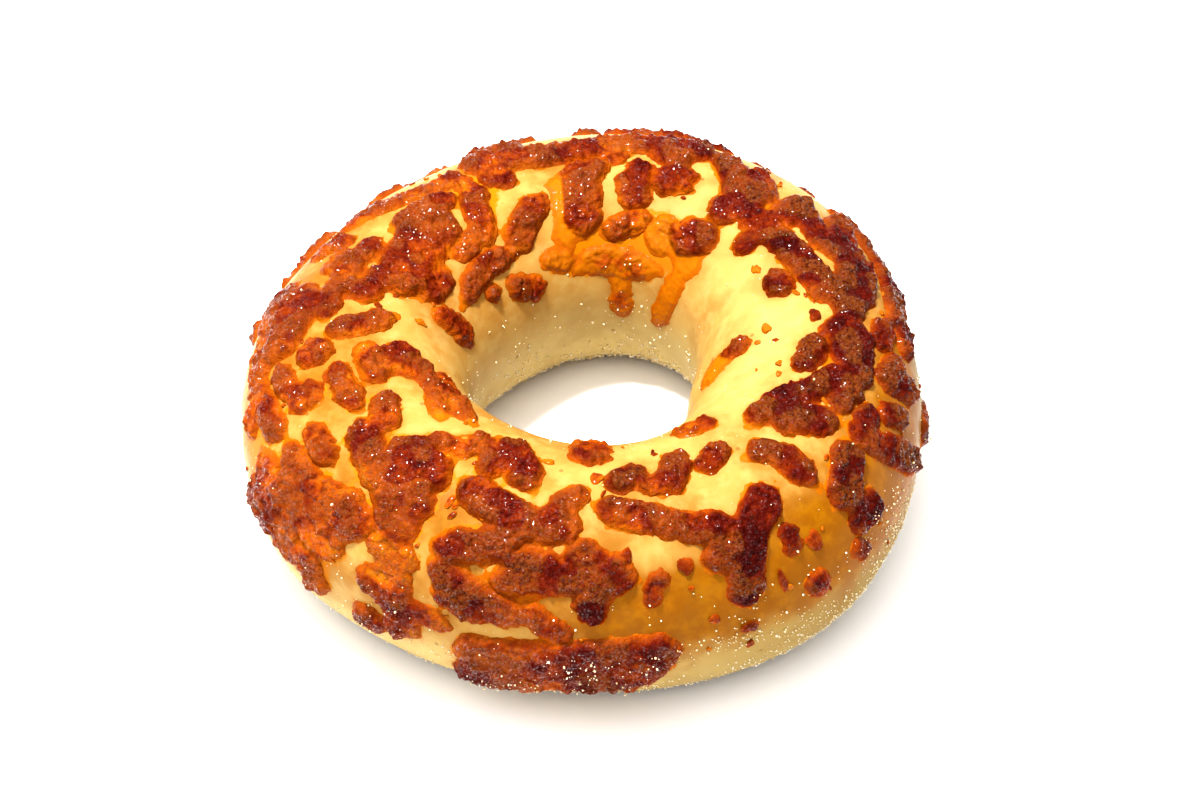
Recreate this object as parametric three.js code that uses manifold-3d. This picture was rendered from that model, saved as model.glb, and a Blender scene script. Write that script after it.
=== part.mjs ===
/**
 * A bagel baked with grated cheese on top, as a scene graph in millimetres, +Z up.
 *
 * The bagel is one ring of dough, baked in one piece, standing on its own flat underside.
 * The cheese went on as loose shreds. Those that touched melted together into clumps, and
 * each clump is a piece of its own, lying on the crust.
 *
 * Places on the ring are given by two angles in degrees:
 *   turn  goes round the hole, anticlockwise from +X as seen from above;
 *   roll  goes round the thickness of the ring: 0 is the outermost line, 90 the crest,
 *         180 the wall of the hole and 270 the underside.
 */
import * as THREE from 'three';
import { ParametricGeometry } from 'three/addons/geometries/ParametricGeometry.js';
import { mergeVertices } from 'three/addons/utils/BufferGeometryUtils.js';
import Module from 'manifold-3d';

const wasm = await Module();
wasm.setup();

// ---------------------------------------------------------------- driving dimensions

const OUTER_DIAMETER = 114;
const DOUGH_WIDTH = 37.4;
const DOUGH_HEIGHT = 38.7;
const RING_RADIUS = (OUTER_DIAMETER - DOUGH_WIDTH) / 2;

// The crest stands a little more than half of the height above the widest line.
const CREST_SHARE = 0.53;
// 2 is an ellipse; a little more gives the full shoulders of risen dough.
const SHOULDER_POWER = 2.18;
// The crust rounds into the flat underside over this height.
const BASE_ROUNDING = 1.5;

// Hand-rolled dough is uneven. Each lobe adds its size where its count of waves peaks.
const RING_OVAL = { size: 0.93, waves: 2, peak: 38 };
const RING_CORNERS = { size: 1.04, waves: 3, peak: 69.6 };
const WIDTH_FAT_SIDE = { size: 0.5, waves: 1, peak: 214 };
const WIDTH_OVAL = { size: 0.5, waves: 2, peak: 344.5 };
const HEIGHT_TALL_SIDE = { size: 0.97, waves: 1, peak: 279 };
// Low swellings, highest at one place and fading out over a spread of turn and of roll.
const SWELLINGS = [
  { size: 1.4, turn: 318, roll: -25, turnSpread: 22, rollSpread: 45 },
  { size: 1.1, turn: 210, roll: 0, turnSpread: 13, rollSpread: 45 },
  { size: 2.0, turn: 348, roll: 165, turnSpread: 25, rollSpread: 32 },
  { size: 1.1, turn: 222, roll: 145, turnSpread: 32, rollSpread: 35 },
];

// Shreds are laid half sunk into the crust and then cut off just above it.
const CRUST_GAP = 0.3;
const THINNEST_SHRED = 1.1;
const HEIGHT_PER_WIDTH = 0.17;
// Where the cheese ran out thin it is only a film of this height.
const FILM = 1;

const RING_TURNS = 60;
const RING_ROLLS = 24;
const SHRED_SIDES = 6;
const SHRED_STEP = 4;
const FEWEST_STEPS = 4;

// ---------------------------------------------------------------- where the cheese lies

/**
 * Every shred, from one tip to the other, as turn and roll. The width is how far it spread
 * as it melted. It stands higher the wider it is, unless a height is given. Shreds that
 * touch come out as one clump.
 */
const SHREDS = [
  // Over the crest at the back right: a crowded net of long shreds.
  { width: 5.5, path: [[6, 80], [20, 88], [32, 94], [48, 99]] },
  { width: 7.0, path: [[5, 79], [16, 83]] },
  { width: 7.0, path: [[43, 101], [50, 85], [57, 70]] },
  { width: 6.0, path: [[44, 118], [52, 124], [60, 128]] },
  { width: 6.5, path: [[47, 111], [52, 93]] },
  { width: 4.2, path: [[35, 117], [37, 98]] },
  { width: 5.5, path: [[36, 92], [39, 59]] },
  { width: 5.2, path: [[358, 76], [12, 66], [25, 60], [35, 48]] },
  { width: 4.2, path: [[19, 70], [30, 72], [38, 65]] },
  { width: 5.0, path: [[1, 44], [12, 39], [25, 35], [39, 45]] },
  { width: 5.0, path: [[48, 97], [55, 78], [62, 63]] },
  { width: 4.6, path: [[42, 87], [48, 74], [54, 62]] },
  { width: 4.4, path: [[4, 65], [14, 59], [23, 55]] },
  { width: 4.8, path: [[358, 39], [7, 34]] },
  { width: 4.6, path: [[14, 34], [20, 23]] },

  // Back: shreds that ran down into the hole in thin orange drips.
  { width: 6.0, path: [[61, 92], [73, 103]] },
  { width: 5.2, path: [[65, 86], [76, 74]] },
  { width: 6.0, path: [[75, 121], [79, 93]] },
  { width: 3.8, path: [[69, 122], [77, 128], [85, 134]] },
  { width: 5.0, height: FILM, path: [[58, 147], [72, 149], [86, 146], [99, 150]] },
  { width: 3.4, height: FILM, path: [[96, 144], [104, 141], [111, 136]] },
  { width: 3.6, height: FILM, path: [[78, 151], [76, 166], [74.5, 182]] },
  { width: 3.6, height: FILM, path: [[50, 139], [54, 160], [58.5, 184]] },
  { width: 6.2, path: [[93, 135], [92, 112], [92, 90]] },
  { width: 4.0, path: [[81, 85], [87, 84]] },
  { width: 5.4, path: [[60, 68], [80, 71], [95, 79], [108, 75], [120, 68]] },
  { width: 5.2, path: [[103, 104], [113, 117], [123, 130]] },
  { width: 4.4, path: [[110, 92], [119, 78]] },
  { width: 4.2, path: [[122, 84], [124, 74], [127, 62]] },
  { width: 4.2, path: [[112, 57], [115, 44]] },
  { width: 4.0, path: [[73, 95], [80, 92]] },
  { width: 3.8, path: [[85, 94], [98, 94]] },
  { width: 6.0, path: [[104, 65], [120, 61]] },
  { width: 4.0, path: [[112, 152], [122, 148], [132, 138]] },
  { width: 8.0, height: FILM, path: [[46, 130], [56, 143]] },
  { width: 7.0, height: FILM, path: [[57, 133], [70, 128]] },
  { width: 4.0, height: FILM, path: [[99, 142], [99, 92]] },

  // Back left: a broad dark patch with long shreds around it.
  { width: 4.2, path: [[119, 131], [132, 127], [143, 129], [159, 137]] },
  { width: 5.0, path: [[131, 123], [126, 100], [120, 79]] },
  { width: 3.6, path: [[131, 106], [137, 116], [144, 112]] },
  { width: 2.8, path: [[136, 140], [144, 141]] },
  { width: 9.5, path: [[132, 92], [150, 99], [169, 108]] },
  { width: 4.0, path: [[149, 116], [158, 121], [167, 118]] },
  { width: 4.4, path: [[160, 95], [173, 91]] },
  { width: 4.4, path: [[171, 101], [168, 73]] },
  { width: 4.2, path: [[150, 79], [163, 77], [181, 75]] },
  { width: 4.4, path: [[124, 75], [135, 65], [151, 49]] },
  { width: 4.2, path: [[152, 67], [158, 46]] },
  { width: 3.8, path: [[156, 69], [165, 66]] },
  { width: 4.5, path: [[126, 84], [147, 80]] },
  { width: 3.8, path: [[165.5, 155], [168, 124]] },
  { width: 4.8, path: [[177, 111], [181.5, 95], [183.5, 75]] },
  { width: 8.0, path: [[167, 61], [178, 58], [187, 47]] },
  { width: 6.0, path: [[164, 48], [178, 42], [190, 36]] },

  // Left: short shreds, then a crowded slope down to the outer side.
  { width: 6.0, path: [[185, 69], [193, 75]] },
  { width: 4.2, path: [[192.5, 80], [210, 81]] },
  { width: 5.0, path: [[198, 72], [200, 52]] },
  { width: 3.8, path: [[188, 51], [198, 58]] },
  { width: 5.5, path: [[187, 114], [204, 112]] },
  { width: 5.4, path: [[188, 98], [204, 99]] },
  { width: 4.0, path: [[189, 120], [205, 121], [214, 119], [225, 104]] },
  { width: 3.6, path: [[197, 135], [212, 129], [233, 114]] },
  { width: 4.8, path: [[207, 98], [219, 82]] },
  { width: 5.5, path: [[211, 78], [219, 70], [229, 57]] },
  { width: 4.2, path: [[205, 58], [216, 53]] },
  { width: 8.4, path: [[221, 81], [239, 72]] },
  { width: 7.4, path: [[224, 62], [239, 60]] },
  { width: 6.5, path: [[228, 50], [238, 46]] },
  { width: 3.6, path: [[225, 90], [233, 96], [242, 99]] },
  { width: 3.2, path: [[234, 108], [243, 104]] },
  { width: 5.4, path: [[204, 43], [218, 40], [227, 46]] },
  { width: 7.4, path: [[207, 31], [226, 21]] },
  { width: 5.0, path: [[186, 36], [204, 44]] },
  { width: 4.4, path: [[191, 32], [197, 27]] },
  { width: 4.2, path: [[229, 35], [240, 33]] },
  { width: 7.0, path: [[200, 28], [213, 15], [213, -7]] },
  { width: 6.0, path: [[200, 12], [211, 3]] },
  { width: 5.4, path: [[218, 14], [221, -14]] },
  { width: 5.2, path: [[229, 46], [222, 28]] },
  { width: 6.6, path: [[234, 37], [236, 18], [238, 0], [237, -14]] },
  { width: 5.0, path: [[229, 18], [236, 13]] },
  { width: 4.0, path: [[238, 11], [247, 5]] },
  { width: 6.0, path: [[228.5, -5], [234.5, -14]] },

  // Front: a tangle over the crest and down the outer side.
  { width: 6.2, path: [[241, 115], [248, 106], [253, 94], [258, 80]] },
  { width: 4.8, path: [[243, 108], [246, 84]] },
  { width: 5.6, path: [[240, 79], [249, 71], [258, 65], [269, 65]] },
  { width: 3.8, path: [[261, 73], [270, 85]] },
  { width: 4.2, path: [[263, 79], [267, 57]] },
  { width: 5.2, path: [[240, 44], [250, 50], [258, 58]] },
  { width: 4.5, path: [[254, 45], [266, 46]] },
  { width: 4.4, path: [[252, 36], [262, 39], [272, 42]] },
  { width: 6.6, path: [[266, 58], [271, 46], [279, 40]] },
  { width: 7.0, path: [[267.5, 29], [273.5, 29]] },
  { width: 5.2, path: [[241, 38], [250, 27], [260, 17]] },
  { width: 3.6, path: [[243, 24], [254, 16]] },
  { width: 4.4, path: [[258, 27], [267, 10]] },
  { width: 8.4, path: [[247, -8], [258, -5], [270, -1], [286, 1]] },
  { width: 7.4, path: [[246, -27], [258, -20], [270, -14], [284, -9]] },
  { width: 2.8, path: [[276, -18], [277.5, -33]] },
  { width: 6.6, path: [[270.5, 134], [270.5, 102]] },
  { width: 4.8, path: [[274, 87], [285, 98]] },
  { width: 2.8, path: [[281, 86], [289, 86]] },
  { width: 5.2, path: [[286, 79], [296, 104]] },
  { width: 4.0, path: [[296.5, 86], [307, 98]] },
  { width: 4.7, path: [[270, 77], [280, 70], [290, 60], [300, 55]] },
  { width: 5.4, path: [[292, 50], [295, 39]] },
  { width: 6.4, path: [[310, 64], [302, 54], [297.5, 36], [297, 14]] },
  { width: 2.8, path: [[283, 44], [280, 27]] },
  { width: 3.2, path: [[307, 47], [307, 30]] },

  // Right: separate dark shreds, the longest one bent like a Z.
  { width: 4.0, path: [[309, 19], [311, 4]] },
  { width: 3.2, path: [[318, 17], [322, 7]] },
  { width: 5.0, path: [[307, 83], [314, 80], [316, 65], [317, 48]] },
  { width: 4.6, path: [[299, 125], [306, 118], [313, 118]] },
  { width: 5.2, path: [[315, 97], [324, 98], [331, 91], [339, 79], [348, 65]] },
  { width: 6.0, path: [[320, 90], [326, 80], [331, 62]] },
  { width: 6.6, path: [[329.5, 59], [323, 45], [317.5, 38]] },
  { width: 6.0, path: [[319, 28], [328, 24]] },
  { width: 5.0, path: [[331, 62], [334, 43], [338, 27], [343.5, 4]] },
  { width: 3.8, path: [[334, 58], [340, 49]] },
  { width: 3.8, path: [[340, 50], [345, 31]] },
  { width: 3.8, path: [[333, 70], [343, 64]] },
  { width: 4.6, path: [[340, 97], [347, 90], [355, 91]] },
  { width: 5.4, path: [[348, 57], [352, 26]] },
  { width: 5.4, path: [[344, 70], [2, 79]] },
  { width: 4.2, path: [[339, 63], [350, 65], [1, 67]] },
  { width: 3.8, path: [[351, 49], [356, 43]] },
  { width: 4.4, path: [[355, 57], [4, 50]] },
  { width: 5.0, height: FILM, path: [[336, 149], [346, 141], [353, 134]] },
  { width: 4.6, path: [[349, 133], [358, 127]] },
  { width: 4.6, path: [[9.5, 104], [15, 105], [21.5, 105]] },

  // Low on the outer side, at the back and at the right: loose shreds and small clumps.
  { width: 4.8, path: [[20, 22], [34, 12]] },
  { width: 5.0, path: [[44, 30], [51, 16], [54, 2]] },
  { width: 5.2, path: [[62, 36], [76, 26]] },
  { width: 4.4, path: [[70, 18], [84, 12]] },
  { width: 5.2, path: [[88, 40], [92, 30], [94, 16]] },
  { width: 4.4, path: [[103, 14], [112, 28]] },
  { width: 4.8, path: [[117, 36], [130, 24]] },
  { width: 4.4, path: [[126, 8], [139, 17]] },
  { width: 5.0, path: [[144, 30], [156, 16]] },
  { width: 4.4, path: [[160, 6], [171, 16]] },
  { width: 5.4, path: [[64, 38], [76, 41], [88, 38]] },
  { width: 4.6, path: [[99, 39], [107, 33], [112, 27]] },
  { width: 4.4, path: [[127, 33], [138, 29]] },
  { width: 4.6, path: [[53, 20], [62, 27]] },
  { width: 4.4, path: [[150, 22], [160, 25]] },
  { width: 4.6, path: [[350, 0], [3, -8]] },
];

// ---------------------------------------------------------------- surfaces and solids

/** The height of one wave of unevenness at an angle round the hole. */
function lobe(shape, turn) {
  return shape.size * Math.cos(THREE.MathUtils.degToRad(shape.waves * (turn - shape.peak)));
}

/** The difference between two angles, the short way round. */
function angleBetween(a, b) {
  return THREE.MathUtils.euclideanModulo(a - b + 180, 360) - 180;
}

/** How far the low swellings raise the crust at a place. */
function swelling(turn, roll) {
  return SWELLINGS.reduce((raised, bump) => {
    const alongTurn = angleBetween(turn, bump.turn) / bump.turnSpread;
    const alongRoll = angleBetween(roll, bump.roll) / bump.rollSpread;
    return raised + bump.size * Math.exp(-alongTurn * alongTurn - alongRoll * alongRoll);
  }, 0);
}

/** Bends a height below the base up to z = 0, rounding over BASE_ROUNDING. */
function restOnBase(height) {
  const near = Math.max(BASE_ROUNDING - Math.abs(height), 0);
  return Math.max(height, 0) + near * near / (4 * BASE_ROUNDING);
}

/** A point of the crust. */
function crustPoint(turn, roll) {
  const turned = THREE.MathUtils.degToRad(turn);
  const rolled = THREE.MathUtils.degToRad(roll);
  const middle = RING_RADIUS + lobe(RING_OVAL, turn) + lobe(RING_CORNERS, turn);
  const halfWidth = DOUGH_WIDTH / 2 + lobe(WIDTH_FAT_SIDE, turn) + lobe(WIDTH_OVAL, turn);
  const height = DOUGH_HEIGHT + lobe(HEIGHT_TALL_SIDE, turn);
  const out = Math.cos(rolled);
  const up = Math.sin(rolled);
  const fullness = (Math.abs(out) ** SHOULDER_POWER + Math.abs(up) ** SHOULDER_POWER)
    ** (-1 / SHOULDER_POWER);
  const raised = swelling(turn, roll);
  const radius = middle + (halfWidth * fullness + raised) * out;
  const z = height * (1 - CREST_SHARE) + (height * CREST_SHARE * fullness + raised) * up;
  return new THREE.Vector3(radius * Math.cos(turned), radius * Math.sin(turned), restOnBase(z));
}

/** The outward direction of the crust. */
function crustNormal(turn, roll) {
  const along = crustPoint(turn + 0.5, roll).sub(crustPoint(turn - 0.5, roll));
  const across = crustPoint(turn, roll + 0.5).sub(crustPoint(turn, roll - 0.5));
  return along.cross(across).normalize();
}

/** A point at some height above the crust. */
function above(turn, roll, height) {
  return crustPoint(turn, roll).addScaledVector(crustNormal(turn, roll), height);
}

/** Joins the seams of a surface and drops the triangles that closed up at its poles. */
function solidOf(geometry) {
  geometry.deleteAttribute('normal');
  geometry.deleteAttribute('uv');
  const merged = mergeVertices(geometry, 1e-4);
  const corners = merged.index.array;
  const kept = [];
  for (let i = 0; i < corners.length; i += 3) {
    const [a, b, c] = corners.slice(i, i + 3);
    if (a !== b && b !== c && c !== a) kept.push(a, b, c);
  }
  return new wasm.Manifold(new wasm.Mesh({
    numProp: 3,
    vertProperties: new Float32Array(merged.attributes.position.array),
    triVerts: new Uint32Array(kept),
  }));
}

/** The whole ring, its crust raised by a height. */
function ringSolid(raised) {
  const surface = (u, v, target) => target.copy(above(360 * u, 360 * v, raised));
  return solidOf(new ParametricGeometry(surface, RING_TURNS, RING_ROLLS));
}

/** Turns that pass 360 are carried on, so that a path across 0 doesn't run backwards. */
function unbrokenPath(path) {
  const start = path[0][0];
  return path.map(([turn, roll]) => {
    const carried = turn - 360 * Math.round((turn - start) / 360);
    return new THREE.Vector2(carried, roll);
  });
}

/** One melted shred: a rounded bar that follows the crust, half sunk into it. */
function shredSolid({ width, path, height = THINNEST_SHRED + HEIGHT_PER_WIDTH * width }) {
  const line = new THREE.SplineCurve(unbrokenPath(path));
  const middle = (v) => {
    const place = line.getPoint(v);
    return crustPoint(place.x, place.y);
  };
  let length = 0;
  const samples = 20;
  for (let i = 0; i < samples; i += 1) {
    length += middle(i / samples).distanceTo(middle((i + 1) / samples));
  }
  const steps = Math.max(FEWEST_STEPS, Math.round(length / SHRED_STEP));

  const surface = (u, v, target) => {
    const toTip = Math.min(v, 1 - v) * length / (width / 2);
    const swell = Math.sqrt(1 - (1 - Math.min(toTip, 1)) ** 2);
    const place = line.getPoint(v);
    const normal = crustNormal(place.x, place.y);
    const ahead = middle(Math.min(v + 0.01, 1)).sub(middle(Math.max(v - 0.01, 0)));
    const side = new THREE.Vector3().crossVectors(normal, ahead).normalize();
    const angle = 2 * Math.PI * u;
    target.copy(crustPoint(place.x, place.y));
    target.addScaledVector(side, Math.cos(angle) * swell * width / 2);
    target.addScaledVector(normal, Math.sin(angle) * swell * height);
  };
  return solidOf(new ParametricGeometry(surface, SHRED_SIDES, steps));
}

/** Gathers solids into groups of those that touch, and joins each group into one solid. */
function joinTouching(solids) {
  const clumps = [];
  for (const solid of solids) {
    let joined = solid;
    for (let i = clumps.length - 1; i >= 0; i -= 1) {
      if (clumps[i].intersect(solid).volume() > 0) {
        joined = joined.add(clumps[i]);
        clumps.splice(i, 1);
      }
    }
    clumps.push(joined);
  }
  return clumps;
}

/** A named mesh of a solid. */
function pieceOf(name, solid, material) {
  const { numProp, vertProperties, triVerts } = solid.getMesh();
  const geometry = new THREE.BufferGeometry();
  geometry.setAttribute('position', new THREE.BufferAttribute(vertProperties, numProp));
  geometry.setIndex(new THREE.BufferAttribute(triVerts, 1));
  geometry.computeVertexNormals();
  const piece = new THREE.Mesh(geometry, material);
  piece.name = name;
  return piece;
}

// ---------------------------------------------------------------- the bagel

const bagel = new THREE.Group();
bagel.name = 'bagel';

const crust = new THREE.MeshStandardMaterial({ color: 0xf2d27c, roughness: 0.5, metalness: 0 });
bagel.add(pieceOf('bread_ring', ringSolid(0), crust));

const raisedCrust = ringSolid(CRUST_GAP);
const shreds = SHREDS.map((shred) => shredSolid(shred).subtract(raisedCrust));
joinTouching(shreds).forEach((clump, i) => {
  const cheese = new THREE.MeshStandardMaterial({ color: 0xa2451a, roughness: 0.4, metalness: 0 });
  bagel.add(pieceOf(`cheese_clump_${String(i + 1).padStart(2, '0')}`, clump, cheese));
});

// The origin is under the middle of the bagel, on the surface that it stands on.
const extent = new THREE.Box3().setFromObject(bagel);
const centre = extent.getCenter(new THREE.Vector3());
bagel.position.set(-centre.x, -centre.y, -extent.min.z);

export default bagel;
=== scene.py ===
import math

import bmesh
import bpy
import numpy as np
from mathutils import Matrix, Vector


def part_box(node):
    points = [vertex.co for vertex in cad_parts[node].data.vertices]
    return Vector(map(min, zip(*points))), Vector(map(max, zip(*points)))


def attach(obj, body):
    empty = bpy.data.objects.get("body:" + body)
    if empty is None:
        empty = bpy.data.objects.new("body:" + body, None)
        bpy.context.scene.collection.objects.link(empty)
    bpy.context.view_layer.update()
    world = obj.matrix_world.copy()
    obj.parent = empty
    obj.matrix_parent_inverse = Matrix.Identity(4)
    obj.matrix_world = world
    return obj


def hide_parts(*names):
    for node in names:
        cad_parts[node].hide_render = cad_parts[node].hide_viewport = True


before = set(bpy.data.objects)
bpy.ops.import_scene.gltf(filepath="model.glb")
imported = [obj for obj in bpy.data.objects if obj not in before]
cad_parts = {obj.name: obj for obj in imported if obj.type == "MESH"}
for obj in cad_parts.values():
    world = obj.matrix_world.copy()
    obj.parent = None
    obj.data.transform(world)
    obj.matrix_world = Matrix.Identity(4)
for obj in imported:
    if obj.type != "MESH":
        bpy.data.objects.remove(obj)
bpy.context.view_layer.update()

# ---------------------------------------------------------------- camera
# It looks down on the bagel from the front, from far enough off that the far side of the
# ring looks hardly smaller than the near side.

MM = 0.001
CAMERA_ELEVATION = math.radians(46.94)
CAMERA_DISTANCE = 663 * MM
CAMERA_LENS = 116.6
CAMERA_SENSOR = 36
CAMERA_SIGHT = 20
MIDDLE_OF_VIEW = Vector((0.504, 0.271, 18)) * MM
STEP_RIGHT = 1.774 * MM
STEP_UP = 0.68 * MM

look_from = Vector((0, -math.cos(CAMERA_ELEVATION), math.sin(CAMERA_ELEVATION)))
camera_up = Vector((0, math.sin(CAMERA_ELEVATION), math.cos(CAMERA_ELEVATION)))
camera_right = Vector((1, 0, 0))
camera = bpy.data.objects.new("camera", bpy.data.cameras.new("camera"))
camera.data.lens = CAMERA_LENS
camera.data.sensor_width = CAMERA_SENSOR
camera.data.clip_end = CAMERA_SIGHT
camera.location = (
    MIDDLE_OF_VIEW + CAMERA_DISTANCE * look_from + STEP_RIGHT * camera_right + STEP_UP * camera_up
)
camera.rotation_euler = look_from.to_track_quat("Z", "Y").to_euler()
bpy.context.scene.collection.objects.link(camera)
bpy.context.scene.camera = camera

# ---------------------------------------------------------------- bread ring
# One ring of wheat dough, boiled and then baked on a tray. Its skin is thin, taut and faintly
# greasy: palest in the hole and low on the sides, amber where the oven was hottest, and flat
# and dusty underneath. Painted onto it are a greenish tint of shade on the pale sides, painted
# shade low on the right and round the base, and painted light on the crest at the right and
# the back. A place on it has a turn round the hole and a roll round the dough.

RING_RADIUS = 38.3
DOUGH_WIDTH = 37.4
DOUGH_HEIGHT = 38.7
CREST_SHARE = 0.53
SHOULDER_POWER = 2.18
BASE_ROUNDING = 1.5
BREAD_TURNS = 576
BREAD_ROLLS = 168
# Each wave round the ring: its size in mm, how many there are, and the turn of a peak.
RADIUS_WAVES = [(0.93, 2, 38), (1.04, 3, 69.6)]
WIDTH_WAVES = [(0.5, 1, 214), (0.5, 2, 344.5)]
HEIGHT_WAVES = [(0.97, 1, 279)]
# Each soft patch: its strength, its turn and roll, and how far it spreads in each, in degrees.
SWELLINGS = [
    (1.4, 318, -25, 22, 45),
    (1.1, 210, 0, 13, 45),
    (2.0, 348, 165, 25, 32),
    (1.1, 222, 145, 32, 35),
]


def waves(turn, wanted):
    """Slow unevenness round the ring, in mm: the sum of cosines of the turn, each with its own
    size, number of waves and peak."""
    return sum(size * np.cos(np.radians(number * (turn - peak))) for size, number, peak in wanted)


def ring_sizes(turn):
    """Middle radius, half width and height of the ring at each turn: a mean plus its waves."""
    middle = RING_RADIUS + waves(turn, RADIUS_WAVES)
    half_width = DOUGH_WIDTH / 2 + waves(turn, WIDTH_WAVES)
    height = DOUGH_HEIGHT + waves(turn, HEIGHT_WAVES)
    return middle, half_width, height


def patches(turn, roll, wanted):
    """The sum of soft patches: each has its strength at one place, and falls off from there as
    a bell curve over its two spreads."""
    total = 0
    for strength, at_turn, at_roll, turn_spread, roll_spread in wanted:
        off_turn = (turn - at_turn + 180) % 360 - 180
        off_roll = (roll - at_roll + 180) % 360 - 180
        bell = np.exp(-((off_turn / turn_spread) ** 2) - (off_roll / roll_spread) ** 2)
        total = total + strength * bell
    return total


def bare_ring(turn, roll):
    """The ring as rolled and risen, in mm. Its section is an ellipse with full shoulders: each
    direction from the middle is stretched until the powers of its two parts add up to one.
    Four low swellings are added, and what would lie below the tray is flattened onto it."""
    middle, half_width, height = ring_sizes(turn)
    out, up = np.cos(np.radians(roll)), np.sin(np.radians(roll))
    fullness = (abs(out) ** SHOULDER_POWER + abs(up) ** SHOULDER_POWER) ** (-1 / SHOULDER_POWER)
    raised = patches(turn, roll, SWELLINGS)
    radius = middle + (half_width * fullness + raised) * out
    z = height * (1 - CREST_SHARE) + (height * CREST_SHARE * fullness + raised) * up
    near_base = np.maximum(BASE_ROUNDING - abs(z), 0)
    z = np.maximum(z, 0) + near_base**2 / (4 * BASE_ROUNDING)
    angle = np.radians(turn)
    return np.stack([radius * np.cos(angle), radius * np.sin(angle), z], -1) + ring_shift


def scatter(cell, seed):
    """A fixed random number from 0 to 1 for each whole-numbered cell and seed: the three
    coordinates times large primes, mixed by shifts, and the last bits taken."""
    x, y, z = np.moveaxis(cell.astype(np.int64), -1, 0)
    mixed = (x * 73856093) ^ (y * 19349663) ^ (z * 83492791) ^ (seed * 2654435761)
    mixed = (mixed & 0xFFFFFFFF) * 0x45D9F3B & 0xFFFFFFFF
    mixed = (mixed ^ (mixed >> 15)) * 0x45D9F3B & 0xFFFFFFFF
    return ((mixed ^ (mixed >> 13)) & 0xFFFFFF) / 0xFFFFFF


def waviness(points, size, seed):
    """Smooth random values from -1 to 1: a random number at each corner of a lattice of the
    given size, blended between the eight corners round each point."""
    cell = np.floor(points / size)
    part = points / size - cell
    part = part * part * (3 - 2 * part)
    total = 0
    for corner in np.ndindex(2, 2, 2):
        share = np.prod(np.where(corner, part, 1 - part), -1)
        total = total + share * scatter(cell + corner, seed)
    return 2 * total - 1


def facing(points):
    """The outward direction of a grid of points: the cross product of its two steps."""
    normal = np.cross(np.gradient(points, axis=-3), np.gradient(points, axis=-2))
    return normal / np.linalg.norm(normal, axis=-1, keepdims=True)


# Each roughness: its height in mm, the size of its waves in mm, and its seed.
CRUST_ROUGHNESS = [(0.26, 14, 1), (0.09, 4.5, 2)]
CREASES = [(0.2, 2.6, 3)]
CREASED_WALL = [(1.0, 22, 140, 24, 42)]
CREASE_DRAWN_OUT = (1, 1, 0.22)
FULLY_UNEVEN_AT = 8


def roughness(points, wanted):
    """Random unevenness, in mm: the sum of waviness of several heights, sizes and seeds."""
    return sum(height * waviness(points, size, seed) for height, size, seed in wanted)


def rising(values, none, full):
    """A share that goes from 0 to 1 in a straight line as the values go from none to full."""
    return np.clip((values - none) / (full - none), 0, 1)


def crust(turn, roll):
    """Points and outward directions of the baked crust on a grid of turn and roll: the bare
    ring, raised and sunk a little by two sizes of waviness, with creases that run down the
    wall of the hole on the right, all fading out towards the flat base."""
    points = bare_ring(turn, roll)
    outward = facing(points)
    creases = patches(turn, roll, CREASED_WALL) * roughness(points * CREASE_DRAWN_OUT, CREASES)
    uneven = roughness(points, CRUST_ROUGHNESS) + creases
    uneven = uneven * rising(points[..., 2], 0, FULLY_UNEVEN_AT)
    points = points + uneven[..., None] * outward
    return points, facing(points)


# The ring is shifted until a coarse grid of it has its middle where the frame's ring has it.
COARSE_TURN_STEP = 6.0
COARSE_ROLL_STEP = 15.0

ring_shift = np.zeros(3)
coarse = bare_ring(
    *np.meshgrid(np.arange(0, 360, COARSE_TURN_STEP), np.arange(0, 360, COARSE_ROLL_STEP))
)
cad_ring = np.array(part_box("bread_ring")) / MM
ring_shift = (cad_ring.sum(0) - coarse.min((0, 1)) - coarse.max((0, 1))) / 2

bread_turn, bread_roll = np.meshgrid(
    np.linspace(0, 360, BREAD_TURNS + 1), np.linspace(-90, 270, BREAD_ROLLS + 1), indexing="ij"
)
bread_points, bread_outward = crust(bread_turn, bread_roll)


def mesh_piece(name, points, faces, marks=(), flat_map=None):
    """A smooth piece from its points in mm and its faces. Each mark is one number a point, for
    its material to read. The flat map gives each corner of each face a place in a square."""
    mesh = bpy.data.meshes.new(name)
    mesh.vertices.add(len(points))
    mesh.vertices.foreach_set("co", (points * MM).astype(np.float32).ravel())
    mesh.loops.add(faces.size)
    mesh.loops.foreach_set("vertex_index", faces.astype(np.int32).ravel())
    mesh.polygons.add(len(faces))
    starts = np.arange(0, faces.size, faces.shape[1], dtype=np.int32)
    mesh.polygons.foreach_set("loop_start", starts)
    mesh.update(calc_edges=True)
    mesh.shade_smooth()
    for mark, values in dict(marks).items():
        layer = mesh.attributes.new(mark, "FLOAT", "POINT")
        layer.data.foreach_set("value", values.astype(np.float32).ravel())
    if flat_map is not None:
        layer = mesh.uv_layers.new(name="OFBake")
        layer.uv.foreach_set("vector", flat_map.astype(np.float32).ravel())
    piece = bpy.data.objects.new(name, mesh)
    bpy.context.scene.collection.objects.link(piece)
    return piece


def squares(i, j):
    """The four corners (i, j), (i + 1, j), (i + 1, j + 1) and (i, j + 1) of grid squares."""
    return np.stack([i, i + 1, i + 1, i], -1), np.stack([j, j, j + 1, j + 1], -1)


CLEAR_OF_CHEESE = 6
LEAST_FALL = 0.01


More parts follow.
